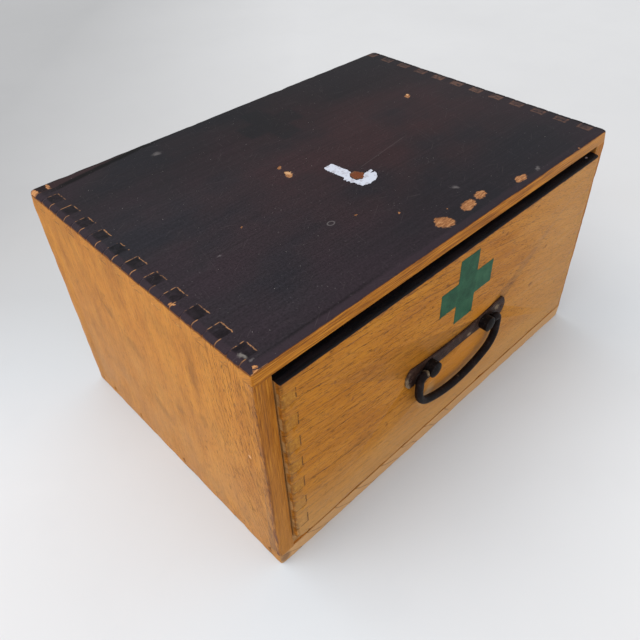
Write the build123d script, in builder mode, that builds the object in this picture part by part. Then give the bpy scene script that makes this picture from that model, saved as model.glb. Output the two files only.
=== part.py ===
from build123d import *

import math
import os

# Wooden medicine box: a finger-jointed case that is open at the front, with one drawer and an iron bail pull.
# Millimetres. X runs to the right, Y to the back and Z up. The origin is the centre of the case's base.

os.makedirs("parts", exist_ok=True)

# ---------------------------------------------------------------- driving sizes
# Case
case_width = 360.0
case_depth = 251.0
case_height = 196.0
case_top_thickness = 10.0
case_bottom_thickness = 11.0
case_side_thickness = 12.5
case_finger_pairs = 12
case_back_thickness = 5.5
back_rebate_width = 5.0
runner_width = 12.0
runner_height = 10.1
runner_set_back = 2.0

# Drawer
drawer_front_thickness = 12.5
drawer_side_thickness = 10.0
drawer_back_thickness = 10.0
drawer_bottom_thickness = 4.0
drawer_top_finger = 9.3
bottom_rebate_width = 5.0
gap_above_drawer = 5.5
front_proud = 4.1

# Pull
pull_x = -5.3
pull_below_middle = 3.7
plate_shift = 2.1
plate_end_reach = 26.5
plate_waist = 10.7
plate_shoulder = 18.8
plate_end_length = 5.5
plate_thickness = 1.6
plate_edge = 0.5
post_spacing = 64.6
post_diameter = 12.2
post_length = 8.2
post_dome = 1.6
shank_diameter = 5.0
bail_leg = 3.0
bail_drop = 38.0
bail_wire = 6.2
bail_bottom_radius = 88.0
bail_corner_radius = 18.4
bail_shoulder_radius = 4.25
bail_pin_diameter = 4.2
bail_pin_length = 5.5
bail_end_chamfer = 0.6
pivot_stand_off = 5.3
washer_size = 11.0
washer_thickness = 1.2
washer_corner = 1.5
peen_diameter = 7.6
peen_height = 1.4

# Nails
nail_diameter = 1.5
nail_head_diameter = 3.6
nail_head_thickness = 0.7
back_nail_length = 22.0
bottom_nail_length = 18.0
runner_nail_length = 18.0
plate_nail_head = 3.4
plate_nail_dome = 0.9
plate_nail_length = 10.0
plate_nail_inset = 4.5
side_back_nails = 4
long_back_nails = 6
side_bottom_nails = 5
long_bottom_nails = 6
runner_nail_count = 4
nail_end_margin = 26.0

# Worn arrises
top_arris = 3.2
front_top_arris = 1.0
upright_arris = 1.8
base_arris = 0.8
opening_arris = 0.8
drawer_arris = 1.3
rim_arris = 0.8

# Clearances
drawer_side_clearance = 1.1
drawer_under_clearance = 0.4
drawer_end_clearance = 0.6
back_fit = 0.2
bottom_fit = 0.2
pivot_clearance = 0.06
pin_end_clearance = 0.5
leg_clearance = 0.6

# ---------------------------------------------------------------- derived sizes
case_front = -case_depth / 2
case_rear = case_depth / 2
case_finger = case_depth / (2 * case_finger_pairs)
inner_width = case_width - 2 * case_side_thickness
inner_height = case_height - case_top_thickness - case_bottom_thickness

drawer_width = inner_width - 2 * drawer_side_clearance
drawer_face = case_front - front_proud
drawer_rear = case_rear - case_back_thickness - drawer_end_clearance
drawer_depth = drawer_rear - drawer_face
drawer_top = case_height - case_top_thickness - gap_above_drawer
runner_top = case_bottom_thickness + runner_height
drawer_base = runner_top + drawer_under_clearance
drawer_height = drawer_top - drawer_base
drawer_inner_face = drawer_face + drawer_front_thickness
drawer_inner_back = drawer_rear - drawer_back_thickness

pull_height = drawer_base + drawer_height / 2 - pull_below_middle
post_x = post_spacing / 2
plate_length = post_spacing + 2 * plate_end_reach
pivot_y = drawer_face - pivot_stand_off


# ---------------------------------------------------------------- nails
def wire_nail(length):
    """A flat-headed wire nail, its head's top at z = 0 and its point below."""
    head = nail_head_diameter / 2
    shank = nail_diameter / 2
    with BuildPart() as nail:
        with BuildSketch(Plane.XZ):
            with BuildLine():
                Polyline(
                    (0, 0),
                    (head, 0),
                    (head, -nail_head_thickness),
                    (shank, -nail_head_thickness),
                    (shank, nail_diameter - length),
                    (0, -length),
                    close=True,
                )
            make_face()
        revolve(axis=Axis.Z)
    return nail.part


# The back's nails stand in the middle of the rebate, all round.
back_nail = wire_nail(back_nail_length)
back_nail_x = inner_width / 2 + back_rebate_width / 2
back_nail_rise = inner_height / 2 + back_rebate_width / 2
opening_mid = case_bottom_thickness + inner_height / 2
side_nail_pitch = 2 * (back_nail_rise - nail_end_margin) / (side_back_nails - 1)
long_nail_pitch = 2 * (back_nail_x - nail_end_margin) / (long_back_nails - 1)
rear_plane = Plane(origin=(0, case_rear, opening_mid), x_dir=(-1, 0, 0), z_dir=(0, 1, 0))

with BuildPart(rear_plane) as case_back_nails:
    with GridLocations(2 * back_nail_x, side_nail_pitch, 2, side_back_nails):
        add(back_nail)
    with GridLocations(long_nail_pitch, 2 * back_nail_rise, long_back_nails, 2):
        add(back_nail)
case_back_nails.part.label = "case_back_nails"
export_step(case_back_nails.part, "parts/case_back_nails.step")

# The runners' nails are driven down into the bottom board, their heads flush with the runners' tops.
runner_x = inner_width / 2 - runner_width / 2
runner_front = case_front + runner_set_back
runner_length = case_rear - case_back_thickness - runner_front
runner_mid_y = runner_front + runner_length / 2
runner_nail_pitch = (runner_length - 2 * nail_end_margin) / (runner_nail_count - 1)
runner_plane = Plane(origin=(0, runner_mid_y, runner_top), x_dir=(1, 0, 0), z_dir=(0, 0, 1))
with BuildPart(runner_plane) as runner_nails:
    with GridLocations(2 * runner_x, runner_nail_pitch, 2, runner_nail_count):
        add(wire_nail(runner_nail_length))
runner_nails.part.label = "runner_nails"
export_step(runner_nails.part, "parts/runner_nails.step")

# The drawer bottom's nails go up through the middle of its rebate, all round.
bottom_nail = wire_nail(bottom_nail_length)
bottom_mid_y = (drawer_inner_face + drawer_inner_back) / 2
bottom_nail_x = drawer_width / 2 - drawer_side_thickness + bottom_rebate_width / 2
bottom_nail_y = (drawer_inner_back - drawer_inner_face + bottom_rebate_width) / 2
bottom_side_pitch = 2 * (bottom_nail_y - nail_end_margin) / (side_bottom_nails - 1)
bottom_long_pitch = 2 * (bottom_nail_x - nail_end_margin) / (long_bottom_nails - 1)
under_plane = Plane(origin=(0, bottom_mid_y, drawer_base), x_dir=(1, 0, 0), z_dir=(0, 0, -1))

with BuildPart(under_plane) as drawer_bottom_nails:
    with GridLocations(2 * bottom_nail_x, bottom_side_pitch, 2, side_bottom_nails):
        add(bottom_nail)
    with GridLocations(bottom_long_pitch, 2 * bottom_nail_y, long_bottom_nails, 2):
        add(bottom_nail)
drawer_bottom_nails.part.label = "drawer_bottom_nails"
export_step(drawer_bottom_nails.part, "parts/drawer_bottom_nails.step")

# ---------------------------------------------------------------- case
# The whole case's outside, cavity and back rebate. Each board is the share of it that its fingers take.
with BuildPart() as case_shape:
    with BuildSketch():
        RectangleRounded(case_width, case_depth, upright_arris)
    extrude(amount=case_height)
    with BuildSketch(Plane.XZ.offset(-case_rear)) as front_outline:
        with Locations((0, case_height / 2)):
            Rectangle(case_width, case_height)
        fillet(front_outline.vertices().group_by(Axis.Y)[-1], radius=top_arris)
        fillet(front_outline.vertices().group_by(Axis.Y)[0], radius=base_arris)
    extrude(amount=case_depth, mode=Mode.INTERSECT)
    # The top's front arris is nearly sharp, and its back one worn round.
    with BuildSketch(Plane.YZ.offset(-case_width / 2)) as side_outline:
        with Locations((0, case_height / 2)):
            Rectangle(case_depth, case_height)
        fillet(side_outline.vertices().group_by(Axis.Y)[0], radius=base_arris)
        fillet(side_outline.vertices().group_by(Axis.Y)[-1].sort_by(Axis.X)[-1], radius=top_arris)
        fillet(side_outline.vertices().group_by(Axis.Y)[-1].sort_by(Axis.X)[0], radius=front_top_arris)
    extrude(amount=case_width, mode=Mode.INTERSECT)
    with BuildSketch(rear_plane):
        Rectangle(inner_width, inner_height)
    extrude(amount=-case_depth, mode=Mode.SUBTRACT)
    with BuildSketch(rear_plane):
        Rectangle(inner_width + 2 * back_rebate_width, inner_height + 2 * back_rebate_width)
    extrude(amount=-case_back_thickness, mode=Mode.SUBTRACT)
    fillet(case_shape.faces().sort_by(Axis.Y)[0].inner_wires()[0].edges(), radius=opening_arris)

# Counted from the front, the odd fingers belong to the top and bottom boards and the even ones to the sides.
board_fingers_y = -case_finger / 2
side_fingers_y = case_finger / 2

case_boards = {
    "case_top": (case_height - case_top_thickness, case_top_thickness),
    "case_bottom": (0, case_bottom_thickness),
}
for node, (height, thickness) in case_boards.items():
    with BuildPart() as case_board:
        with BuildSketch(Plane.XY.offset(height)):
            Rectangle(case_width, case_depth)
            with Locations((0, side_fingers_y)):
                with GridLocations(case_width - case_side_thickness, 2 * case_finger, 2, case_finger_pairs):
                    Rectangle(case_side_thickness, case_finger, mode=Mode.SUBTRACT)
        extrude(amount=thickness)
        add(case_shape.part, mode=Mode.INTERSECT)
        add(case_back_nails.part, mode=Mode.SUBTRACT)
        add(runner_nails.part, mode=Mode.SUBTRACT)
    case_board.part.label = node
    export_step(case_board.part, f"parts/{node}.step")

case_sides = {
    "case_left_side": -case_width / 2,
    "case_right_side": case_width / 2 - case_side_thickness,
}
for node, low_x in case_sides.items():
    with BuildPart() as case_side:
        with BuildSketch(Plane.YZ.offset(low_x)):
            with Locations((0, case_height / 2)):
                Rectangle(case_depth, case_height)
            with Locations((board_fingers_y, case_height - case_top_thickness / 2)):
                with GridLocations(2 * case_finger, case_height, case_finger_pairs, 1):
                    Rectangle(case_finger, case_top_thickness, mode=Mode.SUBTRACT)
            with Locations((board_fingers_y, case_bottom_thickness / 2)):
                with GridLocations(2 * case_finger, case_height, case_finger_pairs, 1):
                    Rectangle(case_finger, case_bottom_thickness, mode=Mode.SUBTRACT)
        extrude(amount=case_side_thickness)
        add(case_shape.part, mode=Mode.INTERSECT)
        add(case_back_nails.part, mode=Mode.SUBTRACT)
    case_side.part.label = node
    export_step(case_side.part, f"parts/{node}.step")

# The back is one thin board, let into the rebate flush with the rear edges.
with BuildPart() as case_back:
    with BuildSketch(rear_plane):
        Rectangle(
            inner_width + 2 * (back_rebate_width - back_fit),
            inner_height + 2 * (back_rebate_width - back_fit),
        )
    extrude(amount=-case_back_thickness)
    add(case_back_nails.part, mode=Mode.SUBTRACT)
case_back.part.label = "case_back"
export_step(case_back.part, "parts/case_back.step")

# The drawer slides on two strips nailed to the bottom board, one against each side.
for node, middle_x in (("left_runner", -runner_x), ("right_runner", runner_x)):
    with BuildPart() as runner:
        with BuildSketch(Plane.XY.offset(case_bottom_thickness)):
            with Locations((middle_x, runner_mid_y)):
                Rectangle(runner_width, runner_length)
        extrude(amount=runner_height)
        add(runner_nails.part, mode=Mode.SUBTRACT)
    runner.part.label = node
    export_step(runner.part, f"parts/{node}.step")

# ---------------------------------------------------------------- pull
# Local Z of these planes points out of the drawer's face. The first has its origin midway between the posts,
# the second in the middle of the plate's back: the plate reaches further to the right than to the left.
pull_plane = Plane(origin=(pull_x, drawer_face, pull_height), x_dir=(1, 0, 0), z_dir=(0, -1, 0))
plate_plane = Plane(origin=(pull_x + plate_shift, drawer_face, pull_height), x_dir=(1, 0, 0), z_dir=(0, -1, 0))

# Domed heads are parts of a sphere: this gives its radius and the angle from the pole to the rim.
def dome(diameter, rise):
    sphere = (diameter**2 / 4 + rise**2) / (2 * rise)
    return sphere, math.degrees(math.asin(diameter / 2 / sphere))


# The plate's nails are round-headed, one near each point.
nail_sphere, nail_angle = dome(plate_nail_head, plate_nail_dome)
with BuildPart() as plate_nail:
    with BuildSketch(Plane.XZ):
        with BuildLine():
            nail_dome = JernArc((0, plate_nail_dome), (1, 0), nail_sphere, -nail_angle)
            Polyline(
                nail_dome @ 1,
                (nail_diameter / 2, 0),
                (nail_diameter / 2, nail_diameter - plate_nail_length),
                (0, -plate_nail_length),
                nail_dome @ 0,
            )
        make_face()
    revolve(axis=Axis.Z)

with BuildPart(plate_plane.offset(plate_thickness)) as handle_plate_nails:
    with GridLocations(plate_length - 2 * plate_nail_inset, plate_length, 2, 1):
        add(plate_nail.part)
handle_plate_nails.part.label = "handle_plate_nails"
export_step(handle_plate_nails.part, "parts/handle_plate_nails.step")

# A post is a domed stud. Its shank goes through the plate and the front, and is hammered over on a washer.
shank_reach = plate_thickness + drawer_front_thickness + washer_thickness
post_sphere, post_angle = dome(post_diameter, post_dome)
peen_sphere, peen_angle = dome(peen_diameter, peen_height)
with BuildPart() as blank_post:
    with BuildSketch(Plane.XZ):
        with BuildLine():
            crown = JernArc((0, post_length), (1, 0), post_sphere, -post_angle)
            peen = JernArc((0, -shank_reach - peen_height), (1, 0), peen_sphere, peen_angle)
            Polyline(
                crown @ 1,
                (post_diameter / 2, 0),
                (shank_diameter / 2, 0),
                (shank_diameter / 2, -shank_reach),
                peen @ 1,
            )
            Line(peen @ 0, crown @ 0)
        make_face()
    revolve(axis=Axis.Z)
    # The bail's pin goes into a blind hole in the outer side.
    with BuildSketch(Plane.YZ.offset(post_diameter / 2 - bail_pin_length - pin_end_clearance)):
        with Locations((0, pivot_stand_off - plate_thickness)):
            Circle(bail_pin_diameter / 2 + pivot_clearance)
    extrude(amount=post_diameter, mode=Mode.SUBTRACT)

# The left post is the right one turned half round, so that its hole also faces outwards.
for node, side, turn in (("handle_left_post", -1, 180), ("handle_right_post", 1, 0)):
    with BuildPart(pull_plane.offset(plate_thickness)) as handle_post:
        with Locations(Location((side * post_x, 0, 0), (0, 0, turn))):
            add(blank_post.part)
    handle_post.part.label = node
    export_step(handle_post.part, f"parts/{node}.step")

for node, side in (("handle_left_washer", -1), ("handle_right_washer", 1)):
    with BuildPart() as handle_washer:
        with BuildSketch(pull_plane.offset(-drawer_front_thickness)):
            with Locations((side * post_x, 0)):
                RectangleRounded(washer_size, washer_size, washer_corner)
                Circle(shank_diameter / 2, mode=Mode.SUBTRACT)
        extrude(amount=-washer_thickness)
    handle_washer.part.label = node
    export_step(handle_washer.part, f"parts/{node}.step")

# The plate is a waisted strap that flares to shoulders and has blunt rounded ends.
with BuildPart() as handle_plate:
    with BuildSketch(plate_plane):
        with BuildLine():
            tip = plate_length / 2
            shoulder_x = tip - plate_end_length
            shoulder_y = plate_shoulder / 2
            waist = ThreePointArc((-shoulder_x, shoulder_y), (0, plate_waist / 2), (shoulder_x, shoulder_y))
            end = ThreePointArc((shoulder_x, shoulder_y), (tip, 0), (shoulder_x, -shoulder_y))
            mirror(waist, about=Plane.XZ)
            mirror(end, about=Plane.YZ)
        make_face()
        with Locations((-post_x - plate_shift, 0), (post_x - plate_shift, 0)):
            Circle(shank_diameter / 2, mode=Mode.SUBTRACT)
    extrude(amount=plate_thickness)
    chamfer(handle_plate.faces().sort_by(Axis.Y)[0].outer_wire().edges(), length=plate_edge)
    add(handle_plate_nails.part, mode=Mode.SUBTRACT)
handle_plate.part.label = "handle_plate"
export_step(handle_plate.part, "parts/handle_plate.step")

# The bail is one bent wire: straight arms, round corners and a slightly bowed grip.
leg_x = post_x + post_diameter / 2 + leg_clearance
arm_x = leg_x + bail_leg + bail_shoulder_radius
bow = math.degrees(math.asin((arm_x - bail_corner_radius) / (bail_bottom_radius - bail_corner_radius)))
corner_drop = bail_drop - bail_bottom_radius
corner_drop += (bail_bottom_radius - bail_corner_radius) * math.cos(math.radians(bow))
with BuildPart() as bail:
    with BuildLine(pull_plane.offset(pivot_stand_off)):
        leg = Line((-leg_x, 0), (-leg_x - bail_leg, 0))
        bend = JernArc(leg @ 1, leg % 1, bail_shoulder_radius, 90)
        arm = Line(bend @ 1, (-arm_x, -corner_drop))
        corner = JernArc(arm @ 1, arm % 1, bail_corner_radius, 90 - bow)
        JernArc(corner @ 1, corner % 1, bail_bottom_radius, bow)
    with BuildSketch(Plane(origin=leg @ 0, z_dir=leg % 0)):
        Circle(bail_wire / 2)
    sweep()
    chamfer(bail.faces().filter_by(GeomType.PLANE).sort_by(Axis.Z)[-1].edges(), length=bail_end_chamfer)
    # Each end is filed down to a pin that turns in its post.
    with BuildSketch(Plane.YZ.offset(pull_x - leg_x)):
        with Locations((pivot_y, pull_height)):
            Circle(bail_pin_diameter / 2)
    extrude(amount=leg_clearance + bail_pin_length)
    mirror(about=Plane.YZ.offset(pull_x))
bail.part.label = "bail"
export_step(bail.part, "parts/bail.step")

# ---------------------------------------------------------------- drawer
# The drawer's outside, with room for its contents and a rebate all round for the bottom board.
drawer_mid_y = (drawer_face + drawer_rear) / 2
cavity_width = drawer_width - 2 * drawer_side_thickness
cavity_depth = drawer_inner_back - drawer_inner_face
with BuildPart() as drawer_shape:
    with BuildSketch(Plane.XY.offset(drawer_base)):
        with Locations((0, drawer_mid_y)):
            Rectangle(drawer_width, drawer_depth)
    extrude(amount=drawer_height)
    fillet(drawer_shape.faces().sort_by(Axis.Y)[0].edges(), radius=drawer_arris)
    fillet(drawer_shape.faces().sort_by(Axis.Z)[-1].edges().sort_by(Axis.Y)[1:], radius=rim_arris)
    with BuildSketch(Plane.XY.offset(drawer_base)):
        with Locations((0, bottom_mid_y)):
            Rectangle(cavity_width, cavity_depth)
    extrude(amount=drawer_height, mode=Mode.SUBTRACT)
    with BuildSketch(Plane.XY.offset(drawer_base)):
        with Locations((0, bottom_mid_y)):
            Rectangle(cavity_width + 2 * bottom_rebate_width, cavity_depth + 2 * bottom_rebate_width)
    extrude(amount=drawer_bottom_thickness, mode=Mode.SUBTRACT)

# The fingers have the case's pitch, under a narrower first one at the top, and run out at the lower edge.
# Counted from the top, the odd ones belong to the front and back and the even ones to the sides.
drawer_pins = math.ceil((drawer_height - drawer_top_finger) / (2 * case_finger))
pins_mid = drawer_top - drawer_top_finger - (drawer_pins - 0.5) * case_finger
side_pins_x = drawer_width - drawer_side_thickness

drawer_ends = {
    "drawer_front": (drawer_face, drawer_front_thickness),
    "drawer_back": (drawer_inner_back, drawer_back_thickness),
}
for node, (near_y, thickness) in drawer_ends.items():
    with BuildPart() as drawer_end:
        with BuildSketch(Plane.XZ.offset(-near_y)):
            with Locations((0, drawer_base + drawer_height / 2)):
                Rectangle(drawer_width, drawer_height)
            with Locations((0, pins_mid)):
                with GridLocations(side_pins_x, 2 * case_finger, 2, drawer_pins):
                    Rectangle(drawer_side_thickness, case_finger, mode=Mode.SUBTRACT)
            with Locations((pull_x - post_x, pull_height), (pull_x + post_x, pull_height)):
                if node == "drawer_front":
                    Circle(shank_diameter / 2, mode=Mode.SUBTRACT)
        extrude(amount=-thickness)
        add(drawer_shape.part, mode=Mode.INTERSECT)
        add(drawer_bottom_nails.part, mode=Mode.SUBTRACT)
        add(handle_plate_nails.part, mode=Mode.SUBTRACT)
    drawer_end.part.label = node
    export_step(drawer_end.part, f"parts/{node}.step")

drawer_sides = {
    "drawer_left_side": -drawer_width / 2,
    "drawer_right_side": drawer_width / 2 - drawer_side_thickness,
}
for node, low_x in drawer_sides.items():
    with BuildPart() as drawer_side:
        with BuildSketch(Plane.YZ.offset(low_x)):
            with Locations((bottom_mid_y, drawer_base + drawer_height / 2)):
                Rectangle(cavity_depth, drawer_height)
            with Locations((drawer_face + drawer_front_thickness / 2, pins_mid)):
                with GridLocations(drawer_depth, 2 * case_finger, 1, drawer_pins):
                    Rectangle(drawer_front_thickness, case_finger)
            with Locations((drawer_rear - drawer_back_thickness / 2, pins_mid)):
                with GridLocations(drawer_depth, 2 * case_finger, 1, drawer_pins):
                    Rectangle(drawer_back_thickness, case_finger)
        extrude(amount=drawer_side_thickness)
        add(drawer_shape.part, mode=Mode.INTERSECT)
        add(drawer_bottom_nails.part, mode=Mode.SUBTRACT)
    drawer_side.part.label = node
    export_step(drawer_side.part, f"parts/{node}.step")

# The bottom is a thin board nailed up into the rebate, flush with the drawer's lower edges.
bottom_margin = 2 * (bottom_rebate_width - bottom_fit)
with BuildPart() as drawer_bottom:
    with BuildSketch(Plane.XY.offset(drawer_base)):
        with Locations((0, bottom_mid_y)):
            Rectangle(cavity_width + bottom_margin, cavity_depth + bottom_margin)
    extrude(amount=drawer_bottom_thickness)
    add(drawer_bottom_nails.part, mode=Mode.SUBTRACT)
drawer_bottom.part.label = "drawer_bottom"
export_step(drawer_bottom.part, "parts/drawer_bottom.step")
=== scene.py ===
"""Looks, floor, light and camera for an old finger-jointed medicine box with one drawer and an iron pull.

Lengths in this script are millimetres on the box: X to the right, Y to the back, Z up, from the centre
of the case's base. They are turned into metres where a mesh or the camera is placed.
"""

import math
import random

import bmesh
import bpy
from mathutils import Matrix, Vector, noise


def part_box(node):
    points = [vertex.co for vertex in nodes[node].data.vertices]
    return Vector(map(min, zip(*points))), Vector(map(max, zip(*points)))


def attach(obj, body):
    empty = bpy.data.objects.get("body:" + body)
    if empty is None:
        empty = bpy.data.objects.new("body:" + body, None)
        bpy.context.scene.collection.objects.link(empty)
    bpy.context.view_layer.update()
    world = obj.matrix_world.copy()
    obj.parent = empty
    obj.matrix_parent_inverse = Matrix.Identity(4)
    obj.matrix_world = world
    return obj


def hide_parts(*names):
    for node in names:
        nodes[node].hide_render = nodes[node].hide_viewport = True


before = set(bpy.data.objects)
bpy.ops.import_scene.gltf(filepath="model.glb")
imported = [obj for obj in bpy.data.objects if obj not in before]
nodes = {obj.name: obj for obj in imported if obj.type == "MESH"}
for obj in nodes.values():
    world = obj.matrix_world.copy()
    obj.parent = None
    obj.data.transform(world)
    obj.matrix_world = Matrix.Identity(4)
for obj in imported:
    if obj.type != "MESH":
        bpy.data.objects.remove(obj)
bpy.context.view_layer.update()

MM = 0.001


# ------------------------------------------------------------------ sizes read from the frame
def corners(*names):
    """Lowest and highest corner, in millimetres, of some nodes taken together."""
    boxes = [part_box(name) for name in names]
    low = [min(box[0][i] for box in boxes) / MM for i in range(3)]
    high = [max(box[1][i] for box in boxes) / MM for i in range(3)]
    return low, high


CASE_BOARDS = ("case_top", "case_bottom", "case_left_side", "case_right_side")
DRAWER_BOARDS = ("drawer_front", "drawer_left_side", "drawer_right_side")
case_low, case_high = corners(*CASE_BOARDS)
drawer_low, drawer_high = corners(*DRAWER_BOARDS)
top_low, top_high = corners("case_top")
wall_low, wall_high = corners("case_left_side")
side_low, side_high = corners("drawer_left_side")

CASE_X = case_high[0]
CASE_FRONT = case_low[1]
CASE_BACK = case_high[1]
CASE_TOP = case_high[2]
WALL = wall_high[0] - wall_low[0]
BOARD = top_high[2] - top_low[2]
FINGERS = 24
FINGER = (CASE_BACK - CASE_FRONT) / FINGERS
DRAWER_X = drawer_high[0]
DRAWER_FACE = drawer_low[1]
DRAWER_TOP = drawer_high[2]
DRAWER_BASE = drawer_low[2]
DRAWER_SIDE = side_high[0] - side_low[0]
# From the drawer's top down to the first of its sides' fingers.
FIRST_PIN = 9.3


def shade(red, green, blue):
    """A colour as the eye sees it, from 0 to 255 each, as the linear colour that a shader takes."""
    linear = []
    for value in (red, green, blue):
        value /= 255
        linear.append(value / 12.92 if value < 0.04045 else ((value + 0.055) / 1.055) ** 2.4)
    return (*linear, 1.0)


USUAL_GLOSS = 0.12
LACQUER_GLOSS = 0.05
SPARE_GLOSS = 0.07
IRON_GLOSS = 0.09
IRON_METALNESS = 0.1
BOARD_RELIEF = 0.14


# ------------------------------------------------------------------ fields: numbers that vary over a surface
class Field:
    """An output of a node tree that can be added, multiplied and compared like a number."""

    def __init__(self, tree, socket):
        self.tree = tree
        self.socket = socket

    def into(self, socket):
        self.tree.links.new(self.socket, socket)

    def math(self, operation, *others):
        node = self.tree.nodes.new("ShaderNodeMath")
        node.operation = operation
        for socket, value in zip(node.inputs, (self, *others)):
            feed(socket, value)
        return Field(self.tree, node.outputs[0])

    def __add__(self, other):
        return self.math("ADD", other)

    def __sub__(self, other):
        return self.math("SUBTRACT", other)

    def __mul__(self, other):
        return self.math("MULTIPLY", other)

    def __truediv__(self, other):
        return self.math("DIVIDE", other)

    def __radd__(self, other):
        return self.math("ADD", other)

    def __rmul__(self, other):
        return self.math("MULTIPLY", other)

    def __rsub__(self, other):
        node = self.tree.nodes.new("ShaderNodeMath")
        node.operation = "SUBTRACT"
        feed(node.inputs[0], other)
        self.into(node.inputs[1])
        return Field(self.tree, node.outputs[0])

    def __pow__(self, other):
        return self.math("POWER", other)

    def __abs__(self):
        return self.math("ABSOLUTE")

    def either(self, other):
        return self.math("MAXIMUM", other)

    def fract(self):
        return self.math("FRACT")

    def above(self, edge, soft=0.2):
        """1 where the field is above the edge, 0 below it, with a soft step."""
        return self.spread(edge - soft, edge + soft, steep=True)

    def below(self, edge, soft=0.2):
        """1 where the field is below the edge, 0 above it, with a soft step."""
        return self.spread(edge - soft, edge + soft, 1.0, 0.0, steep=True)

    def between(self, low, high, soft=0.2):
        return self.near((low + high) / 2, (high - low) / 2, soft)

    def near(self, place, reach, soft=0.2):
        """1 within reach of a place."""
        return abs(self - place).below(reach, soft)

    def spread(self, low, high, to_low=0.0, to_high=1.0, steep=False):
        """The stretch from low to high turned into the one from to_low to to_high, and held at its ends."""
        node = self.tree.nodes.new("ShaderNodeMapRange")
        node.interpolation_type = "SMOOTHSTEP" if steep else "LINEAR"
        feed(node.inputs["Value"], self)
        node.inputs["From Min"].default_value = low
        node.inputs["From Max"].default_value = high
        node.inputs["To Min"].default_value = to_low
        node.inputs["To Max"].default_value = to_high
        return Field(self.tree, node.outputs["Result"])


def feed(socket, value):
    """Links a field to a socket, or sets the socket's own value."""
    if isinstance(value, Field):
        value.into(socket)
    else:
        socket.default_value = value


def joined(masks):
    """The masks laid over each other: 1 wherever any of them is 1."""
    total = masks[0]
    for mask in masks[1:]:
        total = total.either(mask)
    return total


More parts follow.
